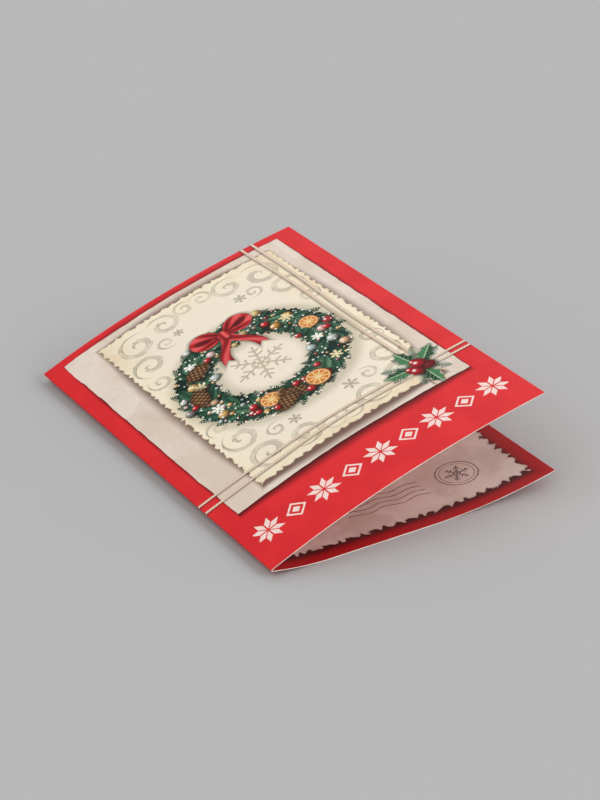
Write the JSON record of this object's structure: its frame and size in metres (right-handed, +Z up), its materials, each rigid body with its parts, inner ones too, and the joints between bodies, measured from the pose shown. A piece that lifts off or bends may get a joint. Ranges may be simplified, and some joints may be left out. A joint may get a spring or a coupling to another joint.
{
  "type": "greeting card",
  "caption": "Portrait greeting card, one sheet of printed board folded once, lying on its back page with the cover sprung part open.",
  "frame": {"origin": "centre of the footprint, on the surface that the back page rests on", "axes": "+X from the fold to the opening edge, +Y from the foot of the card to its head, +Z up"},
  "size_m": [0.1194, 0.18, 0.0395],
  "materials": {
    "printed_board": "satin"
  },
  "bodies": {
    "root": {"folded_sheet": "printed_board"}
  },
  "joints": []
}
